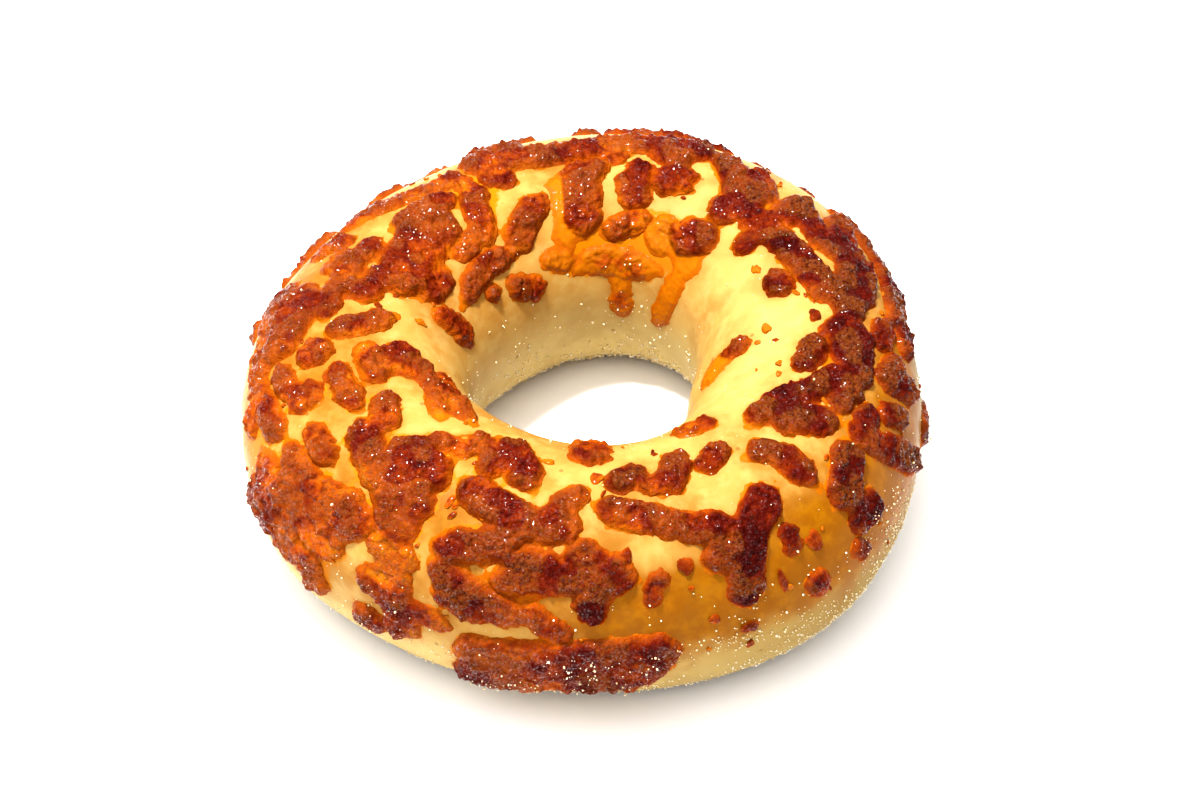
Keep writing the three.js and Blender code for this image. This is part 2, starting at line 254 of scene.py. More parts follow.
def height_over_crust(points, outward, solid):
    """How high a solid stands over each point of a grid of the crust, in mm, and nan where it
    doesn't cover it. A copy of the grid is lifted clear and dropped back until it lands."""
    i, j = squares(*(k.ravel() for k in np.indices((points.shape[0] - 1, points.shape[1] - 1))))
    lifted = (points + CLEAR_OF_CHEESE * outward).reshape(-1, 3)
    blanket = mesh_piece("blanket", lifted, i * points.shape[1] + j)
    drop = blanket.modifiers.new("drop", "SHRINKWRAP")
    drop.target = solid
    drop.wrap_method = "PROJECT"
    drop.use_positive_direction = False
    drop.use_negative_direction = True
    drop.project_limit = (CLEAR_OF_CHEESE + 1) * MM
    landed = blanket.evaluated_get(bpy.context.evaluated_depsgraph_get()).data
    places = np.empty(len(landed.vertices) * 3, np.float32)
    landed.vertices.foreach_get("co", places)
    fallen = ((lifted - places.reshape(-1, 3) / MM) * outward.reshape(-1, 3)).sum(-1)
    bpy.data.objects.remove(blanket)
    height = np.where(fallen > LEAST_FALL, CLEAR_OF_CHEESE - fallen, np.nan)
    return height.reshape(points.shape[:2])


FAR_OFF = 99.0


def reach(start, along, across, steps):
    """How far each point of a grid is from the nearest starting point, in mm: distances are
    handed on to the eight neighbours again and again, and the shortest is kept. The steps
    along and across say how far apart neighbours are."""
    distance = np.where(start, 0.0, FAR_OFF)
    slant = np.hypot(along, across)
    ways = [(1, 0, along), (0, 1, across), (1, 1, slant), (1, -1, slant)]
    for _ in range(steps):
        for di, dj, length in ways:
            for sign in (1, -1):
                handed_on = np.roll(distance, (sign * di, sign * dj), (0, 1)) + length
                distance = np.minimum(distance, handed_on)
    return distance


def spacing(points):
    """How far apart neighbouring points of a grid are, along its two directions, in mm."""
    return [np.linalg.norm(np.gradient(points, axis=axis), axis=-1) for axis in (0, 1)]


cheese_nodes = {name: node for name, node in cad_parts.items() if name != "bread_ring"}
joined = bmesh.new()
for node in cheese_nodes.values():
    joined.from_mesh(node.data)
all_cheese = bpy.data.objects.new("all_cheese", bpy.data.meshes.new("all_cheese"))
joined.to_mesh(all_cheese.data)
joined.free()
bpy.context.scene.collection.objects.link(all_cheese)
cheese_cover = height_over_crust(bread_points, bread_outward, all_cheese)
bpy.data.objects.remove(all_cheese)

# Where the crust looks different, as soft patches.
BROWNED = [
    (1.0, 306, 28, 26, 26),
    (0.9, 334, 26, 16, 28),
    (0.55, 278, 16, 18, 20),
    (0.5, 0, 48, 22, 26),
    (0.44, 190, 70, 60, 40),
    (0.25, 250, 50, 30, 30),
    (0.32, 105, 80, 40, 30),
]
FILMED = [
    (1.0, 88, 141, 19, 10),
    (1.0, 67, 134, 11, 15),
    (0.7, 122, 92, 6, 15),
    (0.8, 213, 6, 12, 18),
    (0.5, 198, 24, 12, 14),
    (0.7, 178, 40, 12, 8),
    (0.3, 232, 70, 34, 40),
    (0.5, 264, -12, 22, 16),
]
# Painted shade: the low right and front-right side is darkened where the lamp's light does not reach.
PAINTED_SHADE_PATCHES = [(1.1, 330, -15, 55, 32), (0.9, 8, 16, 28, 30)]
# Painted light: the crest on the right and at the back is lightened where the lamp falls on it.
PAINTED_LIGHT_PATCHES = [(1.0, 357, 116, 60, 34), (1.0, 75, 98, 26, 16)]
# The rolls where the crust starts to turn pale, with a greenish tint of painted shade, and
# where it is palest.
PALE_SHADE_TINTED_OUTSIDE = (8, -22)
PALE_SHADE_TINTED_IN_HOLE = (150, 185)
# The heights in mm where the dust and the darkening at the base start and where they are
# fullest. The darkening is painted shade near the floor as well as the tray's browning.
DUSTY = (9, 0)
TRAY_BROWNED_AND_SHADE = (5, 1)
# Grease soaks out of the cheese: strongly just beside it, and less over a wider border.
GREASY_EDGE = 0.9
GREASY_BORDER = 3.0
BORDER_SHARE = 0.4
GREASE_STEPS = 12

bread_height = bread_points[..., 2]
from_cheese = reach(np.isfinite(cheese_cover), *spacing(bread_points), GREASE_STEPS)
greasy_edge = np.exp(-((from_cheese / GREASY_EDGE) ** 2))
greasy_border = np.exp(-((from_cheese / GREASY_BORDER) ** 2))
bread_marks = {
    "browned": patches(bread_turn, bread_roll, BROWNED),
    "pale_shade_tinted_side": rising(bread_roll, *PALE_SHADE_TINTED_OUTSIDE) + rising(bread_roll, *PALE_SHADE_TINTED_IN_HOLE),
    "greased": greasy_edge + BORDER_SHARE * greasy_border,
    "filmed": patches(bread_turn, bread_roll, FILMED),
    "sunny": patches(bread_turn, bread_roll, PAINTED_LIGHT_PATCHES),
    "dull_side": patches(bread_turn, bread_roll, PAINTED_SHADE_PATCHES),
    "dusty": rising(bread_height, *DUSTY),
    "tray_browned_and_shade": rising(bread_height, *TRAY_BROWNED_AND_SHADE),
}

i, j = squares(*(k.ravel() for k in np.indices((BREAD_TURNS, BREAD_ROLLS))))
bread = mesh_piece(
    "baked_ring",
    bread_points[:-1, :-1].reshape(-1, 3),
    (i % BREAD_TURNS) * BREAD_ROLLS + j % BREAD_ROLLS,
    marks={name: values[:-1, :-1].clip(0, 1) for name, values in bread_marks.items()},
    flat_map=np.stack([i / BREAD_TURNS, j / BREAD_ROLLS], -1),
)


def paint(red, green, blue):
    """A colour, from 0 to 255, as the linear numbers that a shader takes."""
    return (*(((c / 255 + 0.055) / 1.055) ** 2.4 for c in (red, green, blue)), 1)


def add_node(tree, kind, inputs=(), **settings):
    """A shader node with its settings. Each input is a plain value or the socket feeding it."""
    node = tree.nodes.new(kind)
    for name, value in settings.items():
        setattr(node, name, value)
    for name, value in dict(inputs).items():
        if isinstance(value, bpy.types.NodeSocket):
            tree.links.new(value, node.inputs[name])
        else:
            node.inputs[name].default_value = value
    return node


def blended(tree, share, under, over):
    """The colour under with a share of the colour over laid on it."""
    inputs = {0: share, 6: under, 7: over}
    return add_node(tree, "ShaderNodeMix", inputs, data_type="RGBA").outputs[2]


def worked_out(tree, operation, first, second):
    """The result of one step of arithmetic on two values."""
    return add_node(tree, "ShaderNodeMath", {0: first, 1: second}, operation=operation).outputs[0]


def scaled(tree, value, share):
    """A value times a share."""
    return worked_out(tree, "MULTIPLY", value, share)


def summed(tree, first, *others):
    """The sum of some values."""
    for other in others:
        first = worked_out(tree, "ADD", first, other)
    return first


def ramped(tree, value, low, high):
    """A value turned into a share from 0 to 1 as it goes from low to high."""
    inputs = {"Value": value, "From Min": low, "From Max": high}
    return add_node(tree, "ShaderNodeMapRange", inputs, interpolation_type="SMOOTHSTEP").outputs[0]


def speckle(tree, where, size, detail=3.0, rough=0.55):
    """Cloudy noise with spots of about the given size in mm, from 0 to 1."""
    inputs = {"Vector": where, "Scale": 1 / (size * MM), "Detail": detail, "Roughness": rough}
    return add_node(tree, "ShaderNodeTexNoise", inputs).outputs[0]


def new_effect(name, inputs, outputs):
    """An empty node group with its named inputs and outputs, each a number unless it is the
    place on the surface, and the nodes that carry them."""
    group = bpy.data.node_groups.new(name, "ShaderNodeTree")
    for socket, value in inputs.items():
        kind = "NodeSocketVector" if value is None else "NodeSocketFloat"
        made = group.interface.new_socket(socket, in_out="INPUT", socket_type=kind)
        if value is not None:
            made.default_value = value
    for socket in outputs:
        group.interface.new_socket(socket, in_out="OUTPUT", socket_type="NodeSocketFloat")
    return group, group.nodes.new("NodeGroupInput"), group.nodes.new("NodeGroupOutput")


# Fine pits and grain of a baked surface: two sizes of noise, the finer added by its share.
FINER_BY = 3.1

grain_group, grain_in, grain_out = new_effect(
    "baked_grain", {"Place": None, "Grain": 1400.0, "Fine Share": 0.4}, ["Height"]
)
coarse_grain = add_node(
    grain_group,
    "ShaderNodeTexNoise",
    {"Vector": grain_in.outputs["Place"], "Scale": grain_in.outputs["Grain"], "Detail": 2.0},
)
finer = scaled(grain_group, grain_in.outputs["Grain"], FINER_BY)
fine_grain = add_node(
    grain_group,
    "ShaderNodeTexNoise",
    {"Vector": grain_in.outputs["Place"], "Scale": finer, "Detail": 2.0},
)
fine_part = scaled(grain_group, fine_grain.outputs[0], grain_in.outputs["Fine Share"])
both_grains = summed(grain_group, coarse_grain.outputs[0], fine_part)
grain_group.links.new(both_grains, grain_out.inputs["Height"])

# Grease lies in patches: the surface is glossier where it is wet than where it is dry.
grease_group, grease_in, grease_out = new_effect(
    "patchy_grease", {"Place": None, "Patches": 250.0, "Wet": 0.3, "Dry": 0.5}, ["Roughness"]
)
grease_noise = add_node(
    grease_group,
    "ShaderNodeTexNoise",
    {"Vector": grease_in.outputs["Place"], "Scale": grease_in.outputs["Patches"], "Detail": 3.0},
)
grease_range = add_node(
    grease_group,
    "ShaderNodeMapRange",
    {
        "Value": grease_noise.outputs[0],
        "From Min": 0.35,
        "From Max": 0.65,
        "To Min": grease_in.outputs["Wet"],
        "To Max": grease_in.outputs["Dry"],
    },
)
grease_group.links.new(grease_range.outputs[0], grease_out.inputs["Roughness"])


def effect(tree, group, where, **inputs):
    """One of the shared effects, placed in a material with that material's own values."""
    placed = tree.nodes.new("ShaderNodeGroup")
    placed.node_tree = group
    tree.links.new(where, placed.inputs["Place"])
    for name, value in inputs.items():
        placed.inputs[name.replace("_", " ")].default_value = value
    return placed


def new_finish(name, **surface):
    """A material with one Principled shader, given its plain values, and the object's own
    coordinates for patterns."""
    finish = bpy.data.materials.new(name)
    finish.use_nodes = True
    shader = finish.node_tree.nodes["Principled BSDF"]
    for socket, value in surface.items():
        shader.inputs[socket.replace("_", " ")].default_value = value
    where = finish.node_tree.nodes.new("ShaderNodeTexCoord").outputs["Object"]
    return finish, finish.node_tree, shader, where


def mark(tree, name):
    """The value of one of the piece's marks."""
    return add_node(tree, "ShaderNodeAttribute", attribute_name=name).outputs["Fac"]


skin, tree, shader, where = new_finish(
    "baked_crust",
    Subsurface_Weight=0.1,
    Subsurface_Radius=(1.0, 0.6, 0.2),
    Subsurface_Scale=1.5 * MM,
    Specular_IOR_Level=0.03,
)
clouds = ramped(tree, speckle(tree, where, 9, 4.0), 0.36, 0.66)
fine_clouds = ramped(tree, speckle(tree, where, 2.6, 4.0), 0.42, 0.7)
colour = blended(tree, clouds, paint(165, 127, 64), paint(152, 106, 44))
colour = blended(tree, scaled(tree, fine_clouds, 0.6), colour, paint(172, 144, 84))
# Laid over the crust: the pale sides with their painted greenish shade tint, painted shade on the
# right side, and painted light on the crest.
for name, share, shade in (
    ("pale_shade_tinted_side", 0.8, paint(177, 156, 100)),
    ("dull_side", 0.85, paint(122, 97, 46)),
    ("sunny", 0.45, paint(172, 150, 90)),
):
    colour = blended(tree, scaled(tree, mark(tree, name), share), colour, shade)
browning = ramped(tree, summed(tree, mark(tree, "browned"), scaled(tree, clouds, 0.3)), 0.2, 0.85)
amber = blended(tree, fine_clouds, paint(125, 74, 0), paint(140, 88, 0))
colour = blended(tree, browning, colour, amber)
colour = blended(tree, scaled(tree, mark(tree, "greased"), 0.42), colour, paint(145, 86, 22))
film_edge = summed(
    tree,
    mark(tree, "filmed"),
    scaled(tree, mark(tree, "greased"), 0.36),
    scaled(tree, speckle(tree, where, 1.6, 5.0, 0.65), 0.9),
)
film = ramped(tree, film_edge, 0.86, 1.02)
colour = blended(tree, film, colour, paint(168, 98, 2))
dust_edge = summed(tree, mark(tree, "dusty"), scaled(tree, speckle(tree, where, 0.9, 3.0), 0.8))
dust = ramped(tree, dust_edge, 0.75, 1.2)
colour = blended(tree, scaled(tree, dust, 0.6), colour, paint(186, 172, 136))
# Darker in the lowest few mm: painted shade where the crust meets the floor, and the tray's browning.
tray_browning_and_shade_edge = summed(tree, mark(tree, "tray_browned_and_shade"), scaled(tree, clouds, 0.3), -0.1)
colour = blended(tree, scaled(tree, tray_browning_and_shade_edge, 0.7), colour, paint(116, 88, 42))
spots = add_node(tree, "ShaderNodeTexVoronoi", {"Vector": where, "Scale": 150.0})
specks = ramped(tree, spots.outputs["Distance"], 0.075, 0.04)
colour = blended(tree, scaled(tree, specks, 0.5), colour, paint(87, 51, 13))
tree.links.new(colour, shader.inputs["Base Color"])
grain = effect(tree, grain_group, where, Grain=1100.0, Fine_Share=0.35)
grease = effect(tree, grease_group, where, Patches=120.0, Wet=0.3, Dry=0.46)
tree.links.new(grease.outputs["Roughness"], shader.inputs["Roughness"])
pits = add_node(
    tree,
    "ShaderNodeBump",
    {"Strength": 0.35, "Distance": 0.12 * MM, "Height": grain.outputs["Height"]},
)
tree.links.new(pits.outputs[0], shader.inputs["Normal"])
bread.data.materials.append(skin)
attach(bread, "root")
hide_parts("bread_ring")

# ---------------------------------------------------------------- melted cheese
# Shreds of orange cheese, scattered on before baking. They melted into each other, bubbled,
# and browned, so that each clump is knobbly and dark where it is thick and a smooth orange
# film where it ran out thin. It is stuck to the crust, so each clump is sunk a little into it.

CHEESE_STEP = 0.22
CHEESE_MARGIN = 3.0
CHEESE_UNDER = 0.7
MM_PER_DEGREE_OF_ROLL = 0.335


def bubbles(points, size, seed):
    """Packed bubbles: one spot at random in each cube of a lattice. Gives how far the nearest
    spot is, in mm, and a random number that belongs to it."""
    home = np.floor(points / size)
    nearest = np.full(points.shape[:-1], FAR_OFF)
    own = np.zeros_like(nearest)
    for step in np.ndindex(3, 3, 3):
        cell = home + step - 1
        spot = cell + np.stack([scatter(cell, seed + axis) for axis in range(3)], -1)
        gap = np.linalg.norm(points / size - spot, axis=-1)
        own = np.where(gap < nearest, scatter(cell, seed + 3), own)
        nearest = np.minimum(nearest, gap)
    return nearest * size, own


def softened(values, times):
    """Each point takes the mean of itself and its four neighbours, over and over."""
    for _ in range(times):
        values = (
            values
            + np.roll(values, 1, 0)
            + np.roll(values, -1, 0)
            + np.roll(values, 1, 1)
            + np.roll(values, -1, 1)
        ) / 5
    return values


def highest_near(values, times):
    """Each point takes the highest of itself and its four neighbours, over and over."""
    for _ in range(times):
        values = np.maximum.reduce(
            [values] + [np.roll(values, step, axis) for step in (1, -1) for axis in (0, 1)]
        )
    return values


def grid_over(solid):
    """Turns and rolls of a grid of the crust that reaches a margin beyond a solid, with its
    points about one cheese step apart at the middle of the solid."""
    places = np.empty(len(solid.data.vertices) * 3, np.float32)
    solid.data.vertices.foreach_get("co", places)
    x, y, z = (places.reshape(-1, 3) / MM - ring_shift).T
    turn = np.degrees(np.arctan2(y, x))
    start = np.degrees(np.arctan2(y.mean(), x.mean()))
    turn = start + (turn - start + 180) % 360 - 180
    middle, half_width, height = ring_sizes(turn)
    radius = np.hypot(x, y)
    up = (z - height * (1 - CREST_SHARE)) / (height * CREST_SHARE)
    roll = (np.degrees(np.arctan2(up, (radius - middle) / half_width)) + 90) % 360 - 90
    turn_step = np.degrees(CHEESE_STEP / radius.mean())
    roll_step = CHEESE_STEP / MM_PER_DEGREE_OF_ROLL
    turn_margin = np.degrees(CHEESE_MARGIN / radius.min())
    roll_margin = CHEESE_MARGIN / MM_PER_DEGREE_OF_ROLL
    return np.meshgrid(
        np.arange(turn.min() - turn_margin, turn.max() + turn_margin, turn_step),
        np.arange(roll.min() - roll_margin, roll.max() + roll_margin, roll_step),
        indexing="ij",
    )


CORNER_FILLS = 4
# A flat map is a square: the top fills most of it, the underside a strip, the wall a line.
TOP_MAP = (1, 0.88)
UNDER_MAP = (1, 0.08)
UNDER_MAP_AT = (0, 0.895)
WALL_MAP_LOW = 0.985
WALL_MAP_HIGH = 0.995


def shell(name, top, under, kept, marks):
    """A closed shell over the kept squares of a grid: its top, its underside, and a wall all
    round. Squares that would meet only at a corner are joined by filling in their neighbours."""
    kept = kept.copy()
    for _ in range(CORNER_FILLS):
        a, b, c, d = kept[:-1, :-1], kept[1:, :-1], kept[:-1, 1:], kept[1:, 1:]
        corner_only = (a & d & ~b & ~c) | (b & c & ~a & ~d)
        for quarter in (a, b, c, d):
            quarter |= corner_only
    rows, columns = np.nonzero(kept)
    i, j = squares(rows, columns)
    used = np.zeros(top.shape[:2], bool)
    used[i, j] = True
    number = np.cumsum(used).reshape(used.shape) - 1
    count = int(used.sum())
    across_map = np.stack([i - i.min(), j - j.min()], -1) / (max(np.ptp(i), 1), max(np.ptp(j), 1))

    ringed = np.pad(kept, 1)
    walls = []
    for before, after, di, dj, forward in (
        (ringed[1:-1, :-1], ringed[1:-1, 1:], 1, 0, True),
        (ringed[:-1, 1:-1], ringed[1:, 1:-1], 0, 1, False),
    ):
        for edge, flip in ((after & ~before, forward), (before & ~after, not forward)):
            ei, ej = np.nonzero(edge)
            ends = [number[ei, ej], number[ei + di, ej + dj]]
            first, last = ends[::-1] if flip else ends
            walls.append(np.stack([first, last, last + count, first + count], -1))
    walls = np.concatenate(walls)
    round_wall = (np.arange(len(walls))[:, None] + np.array([0, 1, 1, 0])) / len(walls)
    up_wall = np.tile([WALL_MAP_LOW, WALL_MAP_LOW, WALL_MAP_HIGH, WALL_MAP_HIGH], (len(walls), 1))
    wall_map = np.stack([round_wall, up_wall], -1)
    faces = np.concatenate([number[i, j], number[i, j][:, ::-1] + count, walls])
    flat_map = np.concatenate(
        [across_map * TOP_MAP, across_map[:, ::-1] * UNDER_MAP + UNDER_MAP_AT, wall_map]
    )
    points = np.concatenate([top[used], under[used]])
    both = {mark: np.tile(values[used], 2) for mark, values in marks.items()}
    return mesh_piece(name, points, faces, both, flat_map)


def eased(values, none, full):
    """A share from 0 to 1 as the values go from none to full, easing in and out."""
    share = rising(values, none, full)
    return share * share * (3 - 2 * share)


# The outline: how many steps its distance is followed, how often it is smoothed, how far the
# cheese spread past it, how far thin parts drew back, and its raggedness.
STEPS_INSIDE = 22
STEPS_OUTSIDE = 16
SMOOTHINGS = 6
SPREAD = 0.32
DRAWN_BACK = 0.12
RAGGED_EDGE = [(0.5, 2.0, 11), (0.42, 0.8, 12)]
# Over how many mm the side is rounded off, and how much of that is a quarter circle, the rest
# being a straight slope.
EDGE_ROUNDING = 1.2
ROUND_PART = 0.65
# The height over the crust at which a clump starts to count as thin, and is wholly thin.
THIN = (1.2, 0.8)
# The bends in the pattern of knobs, and for each kind its width or spacing and its height in
# mm. A side is the stretch of waviness, or of chance for a pimple, over which a knob rises.
BENDS = [[(0.45, 1.7, seed)] for seed in (16, 17, 18)]
PLATE_WIDTH = 2.9
PLATE_HEIGHT = 0.28
PLATE_SIDE = (-0.22, 0.16)
LUMP_WIDTH = 1.15
LUMP_HEIGHT = 0.3
LUMP_SIDE = (-0.35, 0.4)
PIMPLE_SPACING = 1.25
PIMPLE_HEIGHT = 0.36
PIMPLE_SIDE = (0.35, 0.6)
LEAST_PIMPLE = 0.3
PIMPLE_GROWTH = 0.4
# How far the surface between the knobs is sunk.
KNOB_SINK = 0.35
FINE_KNOBS = [(0.27, 0.75, 13), (0.12, 0.45, 17)]
# The share of the solid's height that is kept, what thin and slumped parts lose of it, and
# how wide the slumped parts are.
HEIGHT_KEPT = 0.79
THIN_LOSS = 0.4
SLUMP_LOSS = 0.32
SLUMP_WIDTH = 5.5
# Depth is how far inside its edge a point of a clump lies, and is less than 0 outside it. The
# film grows to its full thickness between two depths, its end dips into the crust, and past
# the last depth there is no cheese.
FILM_THICKNESS = 0.12
FILM_VARIES = [(0.5, 2.2, 14)]
FILM_GROWS = (-0.55, 0.1)
DIP_FROM = -0.45
DIP_SLOPE = 1.2
DIP = -0.45
ALL_DIPPED = -0.9
NO_CHEESE = -1.3
# The cheese is darkest on the right and at the front right, and lightest on the left, at the
# back, on the front wall of the hole and low at the front.
DARKER = [(1.0, 325, 60, 55, 90), (0.6, 30, 60, 40, 70)]
LIGHTER = [
    (1.0, 205, 60, 45, 90),
    (0.8, 85, 110, 45, 40),
    (3.4, 284, 122, 30, 18),
    (1.0, 210, 8, 16, 26),
    (1.2, 264, -14, 22, 20),
]
TOAST_ANYWHERE = 0.43
TOAST_MORE = 0.58
TOAST_LESS = 0.2
TOAST_VARIES = [(0.5, 5.5, 15)]


def melt(solid):
    """One clump of melted cheese over its plain solid. Its edge is the solid's outline made
    ragged by two sizes of waviness. Its height is a share of the solid's, rounded off towards
    the edge, less where it is thin or slumped. Plates and lumps are waviness made steep, and
    pimples are half balls on packed spots. A thin film runs out beyond the edge, and its end
    dips into the crust."""
    turn, roll = grid_over(solid)
    points, outward = crust(turn, roll)
    height = height_over_crust(points, outward, solid)
    inside = np.isfinite(height)
    along, across = spacing(points)
    depth_in = reach(~inside, along, across, STEPS_INSIDE)
    depth_out = reach(inside, along, across, STEPS_OUTSIDE)
    crown = softened(highest_near(np.where(inside, height, 0), SMOOTHINGS), SMOOTHINGS)
    thin = eased(crown, *THIN)
    depth = softened(depth_in - depth_out, SMOOTHINGS)
    depth = depth + roughness(points, RAGGED_EDGE) + SPREAD - DRAWN_BACK * thin

    bent = points + np.stack([roughness(points, bend) for bend in BENDS], -1)
    plates = waviness(bent, PLATE_WIDTH, 21)
    plate = eased(plates, *PLATE_SIDE)
    lump = eased(waviness(bent, LUMP_WIDTH, 22), *LUMP_SIDE)
    near, own = bubbles(bent, PIMPLE_SPACING, 31)
    half_ball = np.sqrt(np.clip(1 - (near / (LEAST_PIMPLE + PIMPLE_GROWTH * own)) ** 2, 0, 1))
    pimple = eased(own, *PIMPLE_SIDE) * half_ball
    knobs = PLATE_HEIGHT * plate + LUMP_HEIGHT * lump + PIMPLE_HEIGHT * pimple - KNOB_SINK
    knobs = knobs * (1 - 0.85 * thin) + roughness(points, FINE_KNOBS) * (1 - 0.7 * thin)

    darker = patches(turn, roll, DARKER)
    slumped = eased(waviness(points, SLUMP_WIDTH, 24), 0.0, 0.5) * (1 - thin) * (1 - 0.6 * darker)
    rounding = rising(depth, 0, EDGE_ROUNDING)
    profile = ROUND_PART * np.sqrt(1 - (1 - rounding) ** 2) + (1 - ROUND_PART) * rounding
    body = crown * (HEIGHT_KEPT - THIN_LOSS * thin - SLUMP_LOSS * slumped)
    rise = profile * (body + knobs * (1 - 0.25 * slumped))
    film = FILM_THICKNESS * eased(depth + roughness(points, FILM_VARIES), *FILM_GROWS)
    film_end = film + DIP_SLOPE * np.minimum(depth - DIP_FROM, 0)
    rise = np.where(depth > 0, np.maximum(rise, film), film_end)
    rise = np.where(depth < ALL_DIPPED, DIP, np.maximum(rise, DIP))

    out_of_crust = rise > DIP + 0.01
    kept = out_of_crust[:-1, :-1] | out_of_crust[1:, :-1]
    kept |= out_of_crust[:-1, 1:] | out_of_crust[1:, 1:]
    kept &= (depth > NO_CHEESE)[:-1, :-1]
    toast = TOAST_ANYWHERE + TOAST_MORE * darker - TOAST_LESS * patches(turn, roll, LIGHTER)
    marks = {
        "thickness": rising(rise, 0, 1.4) * (1 - 0.22 * slumped),
        "inward": rising(depth, 0, 2.5),
        # Painted shade: the creases between the plates are marked to be painted dark.
        "crease_shade": np.exp(-(((plates + 0.16) / 0.13) ** 2)) * (1 - thin),
        "blister": eased(plates, -0.2, 0.15) * (1 - thin),
        "shade": eased(waviness(bent, 2.4, 23), -0.7, 0.7),
        "toasted": np.clip(toast + roughness(points, TOAST_VARIES), 0, 1),
        "thin": thin,
    }
    top = points + rise[..., None] * outward
    name = solid.name.replace("clump", "melt")
    return shell(name, top, points - CHEESE_UNDER * outward, kept, marks)


cheese, tree, shader, where = new_finish(
    "melted_cheese",
    Subsurface_Weight=0.1,
    Subsurface_Radius=(1.0, 0.3, 0.05),
    Subsurface_Scale=0.9 * MM,
    Specular_IOR_Level=0.02,
    Coat_Roughness=0.13,
    Coat_IOR=1.42,
)
mottle = speckle(tree, where, 1.6, 5.0, 0.65)
fine_mottle = speckle(tree, where, 0.5, 3.0, 0.6)
amount = summed(
    tree,
    scaled(tree, mark(tree, "thickness"), 0.45),
    scaled(tree, mark(tree, "toasted"), 0.6),
    mottle,
    scaled(tree, mark(tree, "shade"), 0.25),
    scaled(tree, mark(tree, "inward"), 0.16),
    scaled(tree, mark(tree, "thin"), -0.6),
    -0.8,
)
browning = add_node(tree, "ShaderNodeValToRGB", {"Fac": amount})
stops = browning.color_ramp.elements
stops[0].color = paint(159, 89, 4)
stops[-1].color = paint(52, 4, 0)
for position, shade in (
    (0.16, paint(154, 72, 4)),
    (0.36, paint(127, 51, 2)),
    (0.58, paint(101, 30, 0)),
    (0.78, paint(77, 13, 0)),
):
    stops.new(position).color = shade
colour = browning.outputs[0]
tops = scaled(tree, mark(tree, "blister"), ramped(tree, fine_mottle, 0.3, 0.6))
colour = blended(tree, scaled(tree, tops, 0.66), colour, paint(111, 57, 16))
# Painted shade: the creases between plates are painted dark maroon.
colour = blended(tree, scaled(tree, mark(tree, "crease_shade"), 0.6), colour, paint(72, 11, 2))
pale = summed(tree, scaled(tree, mark(tree, "toasted"), -0.8), 1.0)
edge = scaled(tree, ramped(tree, mark(tree, "inward"), 0.34, 0.1), pale)
colour = blended(tree, scaled(tree, edge, 0.6), colour, paint(138, 60, 3))
tree.links.new(colour, shader.inputs["Base Color"])
grain = effect(tree, grain_group, where, Grain=1500.0, Fine_Share=0.5)
grease = effect(tree, grease_group, where, Patches=700.0, Wet=0.07, Dry=0.4)
tree.links.new(grease.outputs["Roughness"], shader.inputs["Roughness"])
firm = summed(tree, scaled(tree, mark(tree, "thin"), -0.8), 1.0)
rough = scaled(tree, grain.outputs["Height"], firm)
drops = ramped(tree, speckle(tree, where, 0.34, 1.0), 0.57, 0.61)
drops = scaled(tree, drops, mark(tree, "thickness"))
tree.links.new(drops, shader.inputs["Coat Weight"])
pits = add_node(tree, "ShaderNodeBump", {"Strength": 1.0, "Distance": 0.4 * MM, "Height": rough})
tree.links.new(pits.outputs[0], shader.inputs["Normal"])

for name, node in cheese_nodes.items():
    clump = melt(node)
    clump.data.materials.append(cheese)
    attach(clump, "root")
    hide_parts(name)

# ---------------------------------------------------------------- cheese crumbs
# Bits of shred that fell beside the clumps and melted where they lay. Each is a low button or
# streak, half sunk where it is stuck to the crust.

CRUMB_AROUND = 14
CRUMB_RINGS = 8
CRUMB_LUMPINESS = 0.5
LEAST_CRUMB_HEIGHT = 0.15
CRUMB_HEIGHT_BY_WIDTH = 0.2
CRUMB_LIFT = 0.05
# Turn, roll, length and width in mm, the way that it lies in degrees, and how toasted it is.
PLACED_CRUMBS = [
    (25, 113, 2.4, 1.3, 10, 0.1), (1, 90.5, 2.6, 2.4, 0, 0.7), (176, 123, 2.2, 1.2, 80, 0.2),
    (219, 47, 2.4, 2.0, 60, 0.5), (272, 93, 2.4, 2.0, 40, 0.5), (258.5, 103, 2.2, 1.2, 0, 0.05),
    (287, 43.5, 3.0, 2.6, 90, 0.65), (290.7, 14.5, 2.3, 2.0, 0, 0.65), (276.5, 50, 3.2, 2.4, 90, 0.65),
    (303.5, 22, 4.6, 1.6, 100, 0.7), (311, 32, 3.6, 2.6, 110, 0.7), (297, 5, 3.4, 2.6, 10, 0.65),
    (297, -7, 1.8, 1.4, 90, 0.6), (338, 103, 1.4, 1.0, 0, 0.3), (342, 105, 1.2, 1.0, 0, 0.3),
    (358, 115, 2.6, 1.6, 20, 0.1), (356, 85, 3.6, 3.2, 0, 0.7), (241, 66, 2.6, 1.0, 80, 0.5),
    (242.5, 60, 1.6, 0.9, 60, 0.5), (248, -26, 2.6, 1.6, 30, 0.3), (250, -22, 1.8, 1.2, 0, 0.3),
]
STRAY_CRUMBS = 170
# The same for the smaller crumbs strewn at random: the least and the most of each.
STRAY_RANGES = [(0, 360), (-10, 125), (0.5, 1.5), (0.4, 1.0), (0, 180), (0.1, 0.7)]


def ball(around, rings):
    """Points of a ball: rings of points at even angles from its pole, then the two poles."""
    u, v = np.meshgrid(np.arange(around) / around, (np.arange(rings) + 1) / (rings + 1), indexing="ij")
    u, v = 2 * np.pi * u.ravel(), np.pi * v.ravel()
    belt = np.stack([np.cos(u) * np.sin(v), np.sin(u) * np.sin(v), np.cos(v)], -1)
    return np.concatenate([belt, [(0, 0, 1), (0, 0, -1)]])


